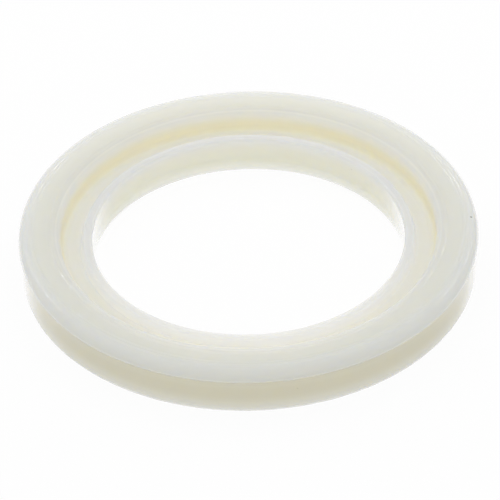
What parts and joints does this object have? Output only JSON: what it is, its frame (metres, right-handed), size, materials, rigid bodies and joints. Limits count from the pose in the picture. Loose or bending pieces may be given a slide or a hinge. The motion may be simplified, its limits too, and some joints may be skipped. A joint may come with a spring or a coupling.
{
  "type": "group head gasket",
  "caption": "One-piece moulded silicone ring that seals a coffee group head: wide flat land with a proud rim band, a deep channel inside it and a lower flexible lip round the bore.",
  "frame": {"origin": "middle of the flat resting face, on the ring's axis", "axes": "+Z along the ring's axis, from the resting face towards the recessed side"},
  "size_m": [0.073, 0.073, 0.0085],
  "materials": {
    "silicone": "satin, slightly translucent"
  },
  "bodies": {
    "root": {"gasket_ring": "silicone"}
  },
  "joints": []
}
